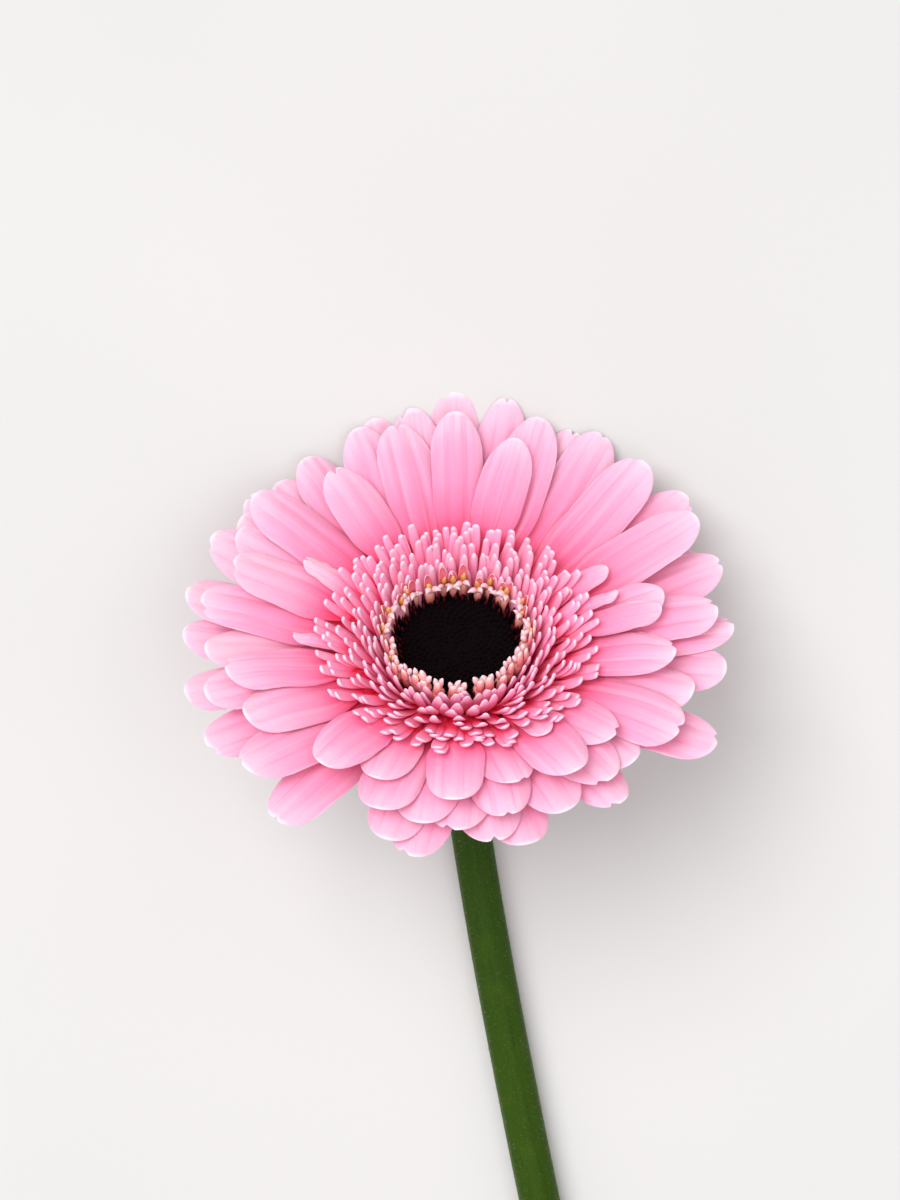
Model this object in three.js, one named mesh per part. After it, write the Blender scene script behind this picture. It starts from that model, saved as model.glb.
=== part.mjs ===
// Cut gerbera, lying on a surface: the head rests on the tips of its far rays and the stem lies
// down behind it. Millimetres, +Z up. The stem runs towards +Y and the face looks towards -Y and up.
import * as THREE from 'three';

// ---- Driving dimensions (mm, degrees) ----
const STEM_LENGTH = 310;
const NECK_RADIUS = 3.8;
const CUT_END_RADIUS = 4.3;
const CUT_SLANT = 25;
const HEADING_AT_NECK = 5;
const HEADING_AT_END = 13;
const HEADING_LENGTH = 60;
const NECK_STRAIGHT = 20;

const HEAD_TILT = 45;
const FLOWER_RADIUS = 50;
const DISC_RADIUS = 11.6;
const HEAD_DEPTH = 17;
const RECEPTACLE_DEPTH = 5.6;
const CLEARANCE = 0.32;

const FLORET_THICKNESS = 0.7;
const FLORET_STEP = 1.2;
const FLORET_SLANT = 0.5;
const FLORET_SEAT = 5.2;

const RAY_THICKNESS = 0.5;
const RAY_WIDTH = 10;
const RAY_BASE_SHARE = 0.3;
const RAY_RISE = 0.25;
const RAY_RISE_TO_FAR_SIDE = 0.05;
const RAY_ARCH = 0.8;
const RESTING_SHARE = 0.93;
const RESTING_AZIMUTH = 90;
const RESTING_SPREAD = 45;

const BRACT_THICKNESS = 0.8;
const BRACT_REACH = 5.5;

// Ray florets as [azimuth in degrees, reach in percent of the flower's radius], row by row.
// Azimuth 90 is the side that rests on the surface and 270 the side over the stem.
const RAY_ROWS = [
  {
    width: 0.94,
    rays: [
      [10, 76], [76, 86], [90, 95], [123, 84], [161, 86], [195, 86], [208, 86],
      [231, 79], [244, 74], [269, 79], [286, 73], [303, 79], [319, 74], [353, 79],
    ],
  },
  {
    width: 1.04,
    rays: [
      [6, 95], [29, 101], [46, 103], [71, 100], [104, 95], [113, 100], [141, 96],
      [151, 93], [172, 95], [184, 92], [196, 95], [219, 97], [249, 84], [260, 84],
      [271, 85], [283, 83], [297, 86], [310, 84], [320, 83], [333, 90], [345, 88],
    ],
  },
  {
    width: 1.0,
    rays: [
      [3, 101], [19, 104], [36, 108], [58, 107], [80, 104], [101, 101], [126, 101],
      [155, 102], [168, 103], [206, 101], [229, 101], [253, 90], [278, 88],
      [311, 91], [355, 98],
    ],
  },
];

// Tongues of the florets inside the rays, from the outermost row in.
const FLORET_ROWS = [
  { name: 'trans_florets_outer', teeth: 40, knee: [1.1, 2.7], tip: [9.4, 6.3], colour: 0xf58ab0 },
  { name: 'trans_florets_middle', teeth: 36, knee: [0.95, 3.8], tip: [6.7, 6.9], colour: 0xf794b8 },
  { name: 'trans_florets_inner', teeth: 32, knee: [0.9, 4.7], tip: [4.0, 7.4], colour: 0xf9a2c0 },
  { name: 'open_disc_florets', teeth: 30, knee: [0.4, 3.6], tip: [0.7, 6.6], colour: 0xe2a27c },
];

const COLOUR = {
  stem: 0x4f6b2c,
  receptacle: 0x8a9a5a,
  bracts: 0x4b6a30,
  rays: 0xf8b6cd,
  buds: 0x1c050b,
};

// ---- Helpers ----
const radians = THREE.MathUtils.degToRad;
const smooth = THREE.MathUtils.smoothstep;
const lerp = THREE.MathUtils.lerp;

function material(colour) {
  return new THREE.MeshStandardMaterial({ color: colour, roughness: 0.6, metalness: 0 });
}

function namedMesh(name, geometry, colour) {
  const mesh = new THREE.Mesh(geometry, material(colour));
  mesh.name = name;
  return mesh;
}

function toGeometry(points, triangles) {
  const geometry = new THREE.BufferGeometry();
  const flat = points.flatMap((point) => point.toArray());
  geometry.setAttribute('position', new THREE.Float32BufferAttribute(flat, 3));
  geometry.setIndex(triangles.flat());
  geometry.computeVertexNormals();
  return geometry;
}

// Closed skin over equal sections; the sections run anticlockwise seen from the last one.
function loft(sections, closedOnItself = false) {
  const size = sections[0].length;
  const triangles = [];
  const spans = closedOnItself ? sections.length : sections.length - 1;
  for (let i = 0; i < spans; i += 1) {
    const next = (i + 1) % sections.length;
    for (let j = 0; j < size; j += 1) {
      const a = i * size + j;
      const b = i * size + ((j + 1) % size);
      const c = next * size + ((j + 1) % size);
      const d = next * size + j;
      triangles.push([a, b, c], [a, c, d]);
    }
  }
  const points = sections.flat();
  if (!closedOnItself) {
    const last = (sections.length - 1) * size;
    for (let j = 1; j < size - 1; j += 1) {
      triangles.push([0, j + 1, j]);
      triangles.push([last, last + j, last + j + 1]);
    }
  }
  return toGeometry(points, triangles);
}

function polar(radius, azimuth, height) {
  return new THREE.Vector3(radius * Math.cos(azimuth), radius * Math.sin(azimuth), height);
}

// Ring around the head's axis; the profile of each column runs clockwise in (radius, height).
function ring(columns, profileOf) {
  const sections = [];
  for (let i = 0; i < columns; i += 1) {
    const azimuth = (i / columns) * 2 * Math.PI;
    sections.push(profileOf(i).map(([radius, height]) => polar(radius, azimuth, height)));
  }
  return loft(sections, true);
}

// ---- Florets inside the rays: nested funnels with toothed rims ----
const floretRowCount = FLORET_ROWS.length;

function wallRadius(row, height) {
  const rowsInside = floretRowCount - 1 - row;
  const atRim = DISC_RADIUS + CLEARANCE + rowsInside * FLORET_STEP;
  return atRim + FLORET_SLANT * Math.min(height, 0);
}

function funnelProfile(row, raised) {
  const { knee, tip } = FLORET_ROWS[row];
  const rim = wallRadius(row, 0);
  const kneePoint = [rim + knee[0], knee[1]];
  const tipPoint = [rim + tip[0], tip[1]];
  const valleyShare = 0.45;
  const reach = raised ? 1 : valleyShare;
  const end = [lerp(kneePoint[0], tipPoint[0], reach), lerp(kneePoint[1], tipPoint[1], reach)];
  const spine = [[wallRadius(row, -FLORET_SEAT), -FLORET_SEAT], [rim, 0], kneePoint, end];
  return thickened(spine, FLORET_THICKNESS);
}

// Strip of one thickness along a spine of (radius, height) points, on its outer, lower side.
function thickened(spine, thickness) {
  const offsets = spine.map((point, i) => {
    const before = spine[Math.max(i - 1, 0)];
    const after = spine[Math.min(i + 1, spine.length - 1)];
    const along = [after[0] - before[0], after[1] - before[1]];
    const length = Math.hypot(...along);
    const away = [along[1] / length, -along[0] / length];
    return [point[0] + away[0] * thickness, point[1] + away[1] * thickness];
  });
  return [...spine, ...offsets.reverse()];
}

function floretRow(row) {
  const { name, teeth, colour } = FLORET_ROWS[row];
  const geometry = ring(teeth * 2, (column) => funnelProfile(row, column % 2 === 0));
  return namedMesh(name, geometry, colour);
}

function discBuds() {
  const low = wallRadius(floretRowCount - 1, -FLORET_SEAT) - CLEARANCE;
  const rim = DISC_RADIUS - CLEARANCE;
  const profile = [
    [0, -FLORET_SEAT], [low, -FLORET_SEAT], [rim, 0], [rim - 0.9, 0.7],
    [rim * 0.6, 0.1], [rim * 0.3, -0.2], [0, -0.3],
  ];
  return namedMesh('disc_floret_buds', turned(profile, 36), COLOUR.buds);
}

function turned(profile, segments) {
  const points = profile.map(([radius, height]) => new THREE.Vector2(radius, height));
  const geometry = new THREE.LatheGeometry(points, segments);
  geometry.rotateX(Math.PI / 2);
  return geometry;
}

// ---- Receptacle and the bracts around it ----
const receptacleRadius = wallRadius(0, -FLORET_SEAT) + FLORET_THICKNESS;
const receptacleFoot = NECK_RADIUS + 0.6;

// Bowl around the receptacle at a given distance; turn 0 is its foot and turn 90 its rim.
function bowl(distance, turn) {
  const across = receptacleRadius - receptacleFoot + distance;
  const deep = HEAD_DEPTH - RECEPTACLE_DEPTH + distance;
  const angle = radians(turn);
  return [
    receptacleFoot + across * Math.sin(angle),
    -RECEPTACLE_DEPTH - deep * Math.cos(angle),
  ];
}

function receptacle() {
  const profile = [[0, -HEAD_DEPTH], [receptacleFoot, -HEAD_DEPTH]];
  for (let turn = 18; turn <= 90; turn += 18) {
    profile.push(bowl(0, turn));
  }
  profile.push([0, -RECEPTACLE_DEPTH]);
  return namedMesh('receptacle', turned(profile, 32), COLOUR.receptacle);
}

// ---- Rays: slabs of one shared family of surfaces, one level above the other ----
const seats = seatRays();
const levels = Math.max(...seats.map((seat) => seat.level)) + 1;
const levelStep = RAY_THICKNESS + CLEARANCE;

function rayReach(reach) {
  return (reach / 100) * FLOWER_RADIUS;
}

// Width along a ray, from the narrow claw (0) through the widest stretch to the round tip (1).
function rayWidth(widest, along) {
  const roundFrom = 0.7;
  const claw = lerp(RAY_BASE_SHARE, 1, smooth(along, 0, 0.5));
  const intoTip = Math.max(0, (along - roundFrom) / (1 - roundFrom));
  return widest * claw * Math.sqrt(Math.max(0, 1 - intoTip ** 2.4));
}

function halfAngle(widest, reach) {
  const inner = wallRadius(0, 0);
  let largest = 0;
  for (let step = 0; step <= 20; step += 1) {
    const along = step / 20;
    const radius = lerp(inner - FLORET_SEAT * FLORET_SLANT, reach, along);
    const half = rayWidth(widest, along) / 2 + CLEARANCE;
    largest = Math.max(largest, Math.atan2(half, radius));
  }
  return THREE.MathUtils.radToDeg(largest);
}

// Every ray takes the highest free level under the rows before it, clear of its neighbours.
function seatRays() {
  const placed = [];
  let firstLevel = 0;
  for (const row of RAY_ROWS) {
    const inRow = [];
    for (const [azimuth, share] of row.rays) {
      const reach = rayReach(share);
      const widest = RAY_WIDTH * row.width;
      const seat = { azimuth, reach, widest, half: halfAngle(widest, reach), level: firstLevel };
      while (inRow.some((other) => other.level === seat.level && collide(other, seat))) {
        seat.level += 1;
      }
      inRow.push(seat);
    }
    placed.push(...inRow);
    firstLevel = Math.max(...inRow.map((seat) => seat.level)) + 1;
  }
  return placed;
}

function degreesApart(one, other) {
  const apart = Math.abs(one - other) % 360;
  return Math.min(apart, 360 - apart);
}

function collide(one, other) {
  return degreesApart(one.azimuth, other.azimuth) < one.half + other.half;
}

// Height of the underside of one level, before the surface underneath lifts it.
function freeHeight(level, radius, azimuth) {
  const start = wallRadius(0, 0);
  const out = radius - start;
  const span = FLOWER_RADIUS - start;
  const towardsFarSide = Math.sin(azimuth);
  const slope = RAY_RISE + RAY_RISE_TO_FAR_SIDE * towardsFarSide;
  const arch = RAY_ARCH * (1 - towardsFarSide) * Math.sin(Math.PI * Math.min(1, out / span));
  const flattening = 1 - 0.03 * level;
  return -level * levelStep + (out * slope + arch) * flattening;
}

const tilt = radians(HEAD_TILT);

function heightAboveCentre(radius, azimuth, height) {
  return -Math.cos(tilt) * radius * Math.sin(azimuth) + Math.sin(tilt) * height;
}

// The head's height follows from the lowest rays on the side that rests on the surface.
const restingRays = seats.filter(
  (seat) => degreesApart(seat.azimuth, RESTING_AZIMUTH) < RESTING_SPREAD,
);
const restingLevel = Math.max(...restingRays.map((seat) => seat.level));
const restingRadius = RESTING_SHARE * FLOWER_RADIUS;
const restingTurn = radians(RESTING_AZIMUTH);
const headHeight = -heightAboveCentre(
  restingRadius,
  restingTurn,
  freeHeight(restingLevel, restingRadius, restingTurn),
);

// Where the resting level would sink into the surface, all levels bend up together.
function rayHeight(level, radius, azimuth) {
  const lowest = freeHeight(restingLevel, radius, azimuth);
  const sunk = -headHeight - heightAboveCentre(radius, azimuth, lowest);
  return freeHeight(level, radius, azimuth) + Math.max(0, sunk) / Math.sin(tilt);
}

const RAY_STATIONS = [0, 0.14, 0.3, 0.46, 0.62, 0.76, 0.87, 0.95, 0.99];

// Where the claws of one level begin, clear of the funnel of florets beside them.
function clawStart(level) {
  const top = -level * levelStep + RAY_THICKNESS;
  const wall = wallRadius(0, Math.min(top, 0)) + FLORET_SLANT * Math.max(top, 0);
  return wall + FLORET_THICKNESS + 2 * CLEARANCE;
}

function rayFloret(seat, index) {
  const turn = radians(seat.azimuth);
  const start = clawStart(seat.level);
  const sections = RAY_STATIONS.map((along) => {
    const out = lerp(start, seat.reach, along);
    const half = rayWidth(seat.widest, along) / 2;
    const across = [-half, 0, half].map((side) => {
      const radius = Math.hypot(out, side);
      const azimuth = turn + Math.atan2(side, out);
      return polar(radius, azimuth, rayHeight(seat.level, radius, azimuth));
    });
    const top = across.map((point) => point.clone().setZ(point.z + RAY_THICKNESS));
    return [...across, ...top.reverse()];
  });
  const name = `ray_floret_${String(index + 1).padStart(2, '0')}`;
  return namedMesh(name, loft(sections), COLOUR.rays);
}

// ---- Bract rings, which stay under the claws of every ray ----
const lowestClaw = Math.min(
  ...seats.map((seat) => rayHeight(seat.level, clawStart(seat.level), radians(seat.azimuth))),
);
const bractCeiling = lowestClaw - CLEARANCE;

function bractRing(name, teeth, distance, fromTurn, toTurn, reach) {
  const geometry = ring(teeth * 2, (column) => {
    const spine = [];
    for (let step = 0; step <= 3; step += 1) {
      spine.push(bowl(distance, lerp(fromTurn, toTurn, step / 3)));
    }
    const shoulder = spine[spine.length - 1];
    const out = column % 2 === 0 ? reach : reach * 0.25;
    spine.push([shoulder[0] + out, shoulder[1] + out * 0.1]);
    const outer = thickened(spine, BRACT_THICKNESS);
    return outer.map(([radius, height]) => [radius, Math.min(height, bractCeiling)]);
  });
  return namedMesh(name, geometry, COLOUR.bracts);
}

// ---- Stem: leaves the head along its axis, bends down and lies on the surface ----
function stemCentreLine() {
  const neck = HEAD_DEPTH + CLEARANCE;
  const neckHeight = headHeight - neck * Math.sin(tilt);
  const bendRadius = (neckHeight - NECK_RADIUS) / (1 - Math.cos(tilt));
  const bendLength = bendRadius * tilt;
  const steps = 36;
  const stations = [];
  const point = new THREE.Vector3(0, neck * Math.cos(tilt), neckHeight);
  const stepLength = STEM_LENGTH / steps;
  const slices = 8;
  for (let i = 0; i <= steps; i += 1) {
    const share = i / steps;
    const length = share * STEM_LENGTH;
    stations.push({
      centre: point.clone(),
      direction: stemDirection(length, bendLength),
      radius: lerp(NECK_RADIUS, CUT_END_RADIUS, share),
    });
    for (let slice = 0; slice < slices; slice += 1) {
      const middle = length + ((slice + 0.5) / slices) * stepLength;
      point.addScaledVector(stemDirection(middle, bendLength), stepLength / slices);
    }
  }
  return stations;
}

function stemDirection(length, bendLength) {
  const down = tilt * (1 - Math.min(1, length / bendLength));
  const settled = 1 - Math.exp(-length / HEADING_LENGTH);
  const heading = radians(lerp(HEADING_AT_NECK, HEADING_AT_END, settled)) * smooth(length, 0, NECK_STRAIGHT);
  return new THREE.Vector3(
    -Math.sin(heading) * Math.cos(down),
    Math.cos(heading) * Math.cos(down),
    -Math.sin(down),
  );
}

function stem() {
  const sides = 12;
  const stations = stemCentreLine();
  const up = new THREE.Vector3(0, 0, 1);
  const sections = stations.map(({ centre, direction, radius }, i) => {
    const side = new THREE.Vector3().crossVectors(direction, up).normalize();
    const over = new THREE.Vector3().crossVectors(side, direction).normalize();
    const lift = Math.max(0, radius - centre.z);
    const slant = i === stations.length - 1 ? Math.tan(radians(CUT_SLANT)) : 0;
    return Array.from({ length: sides }, (_, j) => {
      const angle = (j / sides) * 2 * Math.PI;
      const upwards = Math.sin(angle) * radius;
      return centre
        .clone()
        .addScaledVector(side, Math.cos(angle) * radius)
        .addScaledVector(over, upwards)
        .addScaledVector(direction, -upwards * slant)
        .addScaledVector(up, lift);
    });
  });
  return namedMesh('stem', loft(sections.map((section) => section.reverse())), COLOUR.stem);
}

// ---- Assembly ----
const head = new THREE.Group();
head.matrixAutoUpdate = false;
head.matrix.makeBasis(
  new THREE.Vector3(-1, 0, 0),
  new THREE.Vector3(0, -Math.sin(tilt), -Math.cos(tilt)),
  new THREE.Vector3(0, -Math.cos(tilt), Math.sin(tilt)),
);
head.matrix.setPosition(0, 0, headHeight);
head.add(receptacle());
head.add(discBuds());
FLORET_ROWS.forEach((_, row) => head.add(floretRow(row)));
seats.forEach((seat, index) => head.add(rayFloret(seat, index)));

const innerBracts = CLEARANCE;
const outerBracts = innerBracts + BRACT_THICKNESS + CLEARANCE;
head.add(bractRing('inner_bracts', 18, innerBracts, 34, 84, BRACT_REACH));
head.add(bractRing('outer_bracts', 14, outerBracts, 12, 58, 0.4 * BRACT_REACH));

const flower = new THREE.Group();
flower.add(head, stem());
flower.updateMatrixWorld(true);

// The origin is the middle of the underside of the whole flower's box.
const box = new THREE.Box3().setFromObject(flower, true);
const gerbera = new THREE.Group();
flower.position.set(-(box.min.x + box.max.x) / 2, -(box.min.y + box.max.y) / 2, -box.min.z);
gerbera.add(flower);
gerbera.updateMatrixWorld(true);

export default gerbera;
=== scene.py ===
# Cut gerbera lying on a pale floor: fine petals, florets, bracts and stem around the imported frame.
import math
import random

import bpy
import numpy as np
from mathutils import Matrix, Vector


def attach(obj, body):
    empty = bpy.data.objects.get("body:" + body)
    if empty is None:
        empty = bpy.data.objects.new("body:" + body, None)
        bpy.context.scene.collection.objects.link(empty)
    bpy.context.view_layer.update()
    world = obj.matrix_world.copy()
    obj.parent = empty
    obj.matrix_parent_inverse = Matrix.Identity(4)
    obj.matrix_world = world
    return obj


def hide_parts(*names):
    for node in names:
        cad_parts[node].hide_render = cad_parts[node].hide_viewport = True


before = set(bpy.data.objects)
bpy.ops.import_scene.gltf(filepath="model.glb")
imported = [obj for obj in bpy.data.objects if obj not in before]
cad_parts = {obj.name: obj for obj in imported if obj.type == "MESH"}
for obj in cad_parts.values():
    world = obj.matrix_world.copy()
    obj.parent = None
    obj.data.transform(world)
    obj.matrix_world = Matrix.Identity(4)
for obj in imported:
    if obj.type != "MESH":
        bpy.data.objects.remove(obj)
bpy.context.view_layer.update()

MM = 0.001

# ---- Driving values, in millimetres and degrees ----
SEAT_DEPTH = 5.6            # the receptacle's top lies this far under the disc's plane
INNER_LAST = 14             # ray_floret_01 to 14 are the inner row
MIDDLE_LAST = 35            # ray_floret_15 to 35 are the middle row
LEVEL_STEP = 0.82           # rear rays lie this much lower, and small rays this much higher
NEAR_SHORTENING = 2.0       # rays over the stem bend down at their tips, which shortens them
VISIBLE_WIDTH = 1.04        # real rays overlap their neighbours, and the solids do not
NEAR_WIDENING = 0.1         # more of that over the stem
NOTCH_CHANCE = 0.5
CLAW_WIDTH = 0.34           # of a ray at its foot, as a share of its full width
TIP_POWER = 2.15            # roundness of a ray's tip; 2 is an ellipse
RAY_GAP = 0.28              # between a ray and those under it
MOST_LIFT = 3.0             # of a ray to clear the others
FLOOR_GAP = 0.1             # between a ray and the floor
VIEW_ELEVATION = 54         # of the camera above the face, from the side over the stem
VIEW_DISTANCE = 560
FRAME_HEIGHT = 219          # seen from top to bottom at the flower
AIM = (-1.5, 8.8)           # how far right of and above the flower's middle the camera aims

TONGUE_FOOT = (12.9, -2.6)  # distance from the middle, and height
LOWEST_CLAW = -1.5          # height taken under a tongue where no ray lies
DISC_FLORETS = 34
DISC_FLORET_RADIUS = 12.3
ANTHER_CHANCE = 0.85
BUDS = 380
BUD_CIRCLE = 11.2
TALL_BUD_RINGS = ((11.7, 52, 4.4), (11.1, 46, 3.4), (10.4, 42, 2.6))    # radius, count, height
HAIRS_PER_BRACT = 26

STEM_CUTS = 46              # places at which the solid's middle is read
STEM_RINGS = 190
STEM_SIDES = 64
NECK_RADIUS = 3.8
NECK_FLARE = 2.0            # more radius where the stem meets the receptacle
CUT_SLANT = 25
CUT_SHARES = (1.0, 0.75, 0.5, 0.25)     # of the slant, from the last ring back
STEM_HAIRS = 7000

FLOOR_HALF_WIDTH = 12.0     # in metres
WORLD_STRENGTH = 0.53
KEY_STRENGTH, KEY_SOFTNESS = 2.05, 40
FILL_STRENGTH, FILL_SOFTNESS = 0.8, 50

# Outer rays with no solid of their own, as (azimuth, reach).
EXTRA_RAYS = (
    (24, 50), (64, 52), (73, 51), (91, 52.5), (109, 51), (134, 50), (140, 51),
    (147, 49), (177, 50.5), (191, 50.5), (261, 46.5), (287, 45), (335, 51),
)

# Two grooves run along a ray at this share of its half width, shifted with the ray's tone.
GROOVE_PLACE = 0.35
GROOVE_SHIFT = 0.2

# Small rays at the edge of the tongues, as (azimuth, reach, width).
SMALL_RAYS = (
    (5, 37, 5.4), (15, 30, 3.4), (28, 31, 4.4), (152, 32, 5.0),
    (183, 30, 3.4), (305, 29.5, 5.6),
)

# Tongues between the rays and the centre: (solid they stand for, count, tip radius, tip height).
TONGUE_ROWS = (
    ("trans_florets_outer", 50, 25.6, 5.2),
    ("trans_florets_outer", 49, 23.8, 5.6),
    ("trans_florets_middle", 47, 22.0, 6.0),
    ("trans_florets_middle", 44, 20.2, 6.4),
    ("trans_florets_inner", 44, 18.4, 6.7),
    ("trans_florets_inner", 42, 16.7, 6.6),
    ("trans_florets_inner", 39, 15.2, 6.1),
    ("trans_florets_inner", 37, 13.9, 5.3),
)


# ---- The head's own frame, from the solids ----
def solid_points(node):
    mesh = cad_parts[node].data
    points = np.array([vertex.co[:] for vertex in mesh.vertices])
    return np.unique(np.round(points, 6), axis=0)


ring_middle = solid_points("open_disc_florets").mean(axis=0)
base_middle = solid_points("receptacle").mean(axis=0)
face = (ring_middle - base_middle) / np.linalg.norm(ring_middle - base_middle)
across_head = np.array([-1.0, 0.0, 0.0])
up_head = np.cross(face, across_head)
HEAD = np.stack([across_head, up_head, face])
receptacle_top = ((solid_points("receptacle") - base_middle) @ face).max()
HEAD_CENTRE = base_middle + face * (receptacle_top + SEAT_DEPTH * MM)


def to_head(points):
    return (points - HEAD_CENTRE) @ HEAD.T / MM


def to_world(points):
    return HEAD_CENTRE + np.asarray(points) * MM @ HEAD


def floor_height(points):
    """Height in the head's frame at which the floor lies under or over each head point."""
    sideways = points[..., 0] * HEAD[0][2] + points[..., 1] * HEAD[1][2]
    return (-HEAD_CENTRE[2] / MM - sideways) / HEAD[2][2]


def smooth(low, high, value):
    share = np.clip((value - low) / (high - low), 0, 1)
    return share * share * (3 - 2 * share)


def bell(value, middle, width):
    return np.exp(-(((value - middle) / width) ** 2))


def rounded(value, power=2):
    """Falls from 1 in the middle to 0 at -1 and 1, along a circle when the power is 2."""
    return np.sqrt(np.clip(1 - np.abs(value) ** power, 0, 1))


def outwards(azimuth):
    return np.array([math.cos(azimuth), math.sin(azimuth), 0])


def full_turn(sides):
    return np.arange(sides) / sides * 2 * math.pi


# ---- Meshes ----
def put_in_scene(obj):
    bpy.context.scene.collection.objects.link(obj)


ATTRIBUTES = ("along", "across", "tone", "front")


class Skin:
    """Gathers closed shapes, in world metres, and becomes one mesh object."""

    def __init__(self):
        self.points = []
        self.faces = []
        self.values = {name: [] for name in ATTRIBUTES}
        self.rims = set()
        self.size = 0

    def add(self, points, faces, **values):
        self.points.append(np.asarray(points).reshape(-1, 3))
        count = len(self.points[-1])
        self.faces.extend([tuple(i + self.size for i in corners) for corners in faces])
        for name in ATTRIBUTES:
            value = np.broadcast_to(np.asarray(values.get(name, 0.0), float), (count,))
            self.values[name].append(value)
        self.size += count

    def build(self, name, material, slot, *nodes):
        mesh = bpy.data.meshes.new(name)
        mesh.from_pydata(np.concatenate(self.points).tolist(), [], self.faces)
        mesh.polygons.foreach_set("use_smooth", [True] * len(mesh.polygons))
        for key in ATTRIBUTES:
            layer = mesh.attributes.new(key, "FLOAT", "POINT")
            layer.data.foreach_set("value", np.concatenate(self.values[key]).astype(np.float32))
        if self.rims:
            sharp = [tuple(sorted(edge.vertices)) in self.rims for edge in mesh.edges]
            layer = mesh.attributes.new("sharp_edge", "BOOLEAN", "EDGE")
            layer.data.foreach_set("value", sharp)
        mesh.materials.append(material)
        mesh.validate()
        obj = bpy.data.objects.new(name, mesh)
        put_in_scene(obj)
        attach(obj, "root")
        if nodes:
            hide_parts(*nodes)
        return obj


def leaf(skin, middle, half_thickness, along, across, tone, thin=False):
    """A closed lens over a grid of middle points: rows run from base to tip, columns across.

    A thin leaf has a sharp rim.
    """
    rows, columns = middle.shape[:2]
    along = np.broadcast_to(along, (rows, columns))
    across = np.broadcast_to(across, (rows, columns))
    lengthwise = np.gradient(middle, axis=0)
    sideways = np.gradient(middle, axis=1)
    normal = np.cross(lengthwise, sideways)
    normal /= np.maximum(np.linalg.norm(normal, axis=2, keepdims=True), 1e-9)
    inside = np.zeros((rows, columns), bool)
    inside[1:-1, 1:-1] = True
    offset = normal * np.where(inside, half_thickness, 0)[..., None]
    front = middle + offset
    back = (middle - offset)[inside]
    front_index = np.arange(rows * columns).reshape(rows, columns)
    back_index = front_index.copy()
    back_index[inside] = rows * columns + np.arange(inside.sum())
    faces = []
    for i in range(rows - 1):
        for j in range(columns - 1):
            corners = ((i, j), (i + 1, j), (i + 1, j + 1), (i, j + 1))
            faces.append(tuple(front_index[corner] for corner in corners))
            faces.append(tuple(back_index[corner] for corner in reversed(corners)))
    if thin:
        rim = [*front_index[0], *front_index[:, -1], *front_index[-1, ::-1], *front_index[::-1, 0]]
        rim = [int(i) + skin.size for i in rim]
        skin.rims.update(tuple(sorted(pair)) for pair in zip(rim, rim[1:]) if pair[0] != pair[1])
    points = np.concatenate([front.reshape(-1, 3), back])
    facing = np.concatenate([np.ones(rows * columns), np.zeros(len(back))])
    skin.add(
        to_world(points),
        faces,
        along=np.concatenate([along.ravel(), along[inside]]),
        across=np.concatenate([across.ravel(), across[inside]]),
        tone=tone,
        front=facing,
    )


def directions(line):
    ahead = np.gradient(line, axis=0)
    return ahead / np.linalg.norm(ahead, axis=1, keepdims=True)


def cross_axes(ahead, helper):
    """Two directions across each step of a line, the first square to the helper."""
    side = np.cross(ahead, helper)
    side /= np.linalg.norm(side, axis=1, keepdims=True)
    return side, np.cross(side, ahead)


def ring_points(centres, side, over, reach):
    """Rings around the centres; reach holds a radius for each ring and side."""
    turns = full_turn(reach.shape[1])
    return (
        centres[:, None]
        + side[:, None] * (np.cos(turns)[None] * reach)[..., None]
        + over[:, None] * (np.sin(turns)[None] * reach)[..., None]
    )


def ring_faces(count, sides):
    """Faces that join the rings one after another and close the first and the last."""
    faces = []
    for i in range(count - 1):
        for j in range(sides):
            k = (j + 1) % sides
            faces.append((i * sides + j, (i + 1) * sides + j, (i + 1) * sides + k, i * sides + k))
    faces.append(tuple(range(sides)))
    faces.append(tuple(reversed(range((count - 1) * sides, count * sides))))
    return faces


def tube(skin, centres, radii, sides, tone, placed=to_world, **values):
    """A closed round skin along a line of centres, with a radius at each."""
    centres = np.asarray(centres, float)
    ahead = directions(centres)
    helper = np.array([0.31, 0.17, 0.94])
    if abs(ahead[0] @ helper) > 0.9:
        helper = np.array([0.9, 0.1, 0.3])
    side, over = cross_axes(ahead, helper)
    count = len(centres)
    reach = np.broadcast_to(np.asarray(radii)[:, None], (count, sides))
    rings = ring_points(centres, side, over, reach)
    share = np.repeat(np.linspace(0, 1, count), sides)
    faces = ring_faces(count, sides)
    skin.add(placed(rings.reshape(-1, 3)), faces, along=share, tone=tone, **values)


def coat(name, material):
    """Gives a solid that stays visible its material."""
    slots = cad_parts[name].data.materials
    slots.clear()
    slots.append(material)


# ---- Materials ----
def linear(red, green, blue):
    """Colour of a surface from the levels that it shows on a screen."""
    def channel(value):
        value /= 255
        return value / 12.92 if value <= 0.04045 else ((value + 0.055) / 1.055) ** 2.4

    return (channel(red), channel(green), channel(blue), 1.0)


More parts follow.
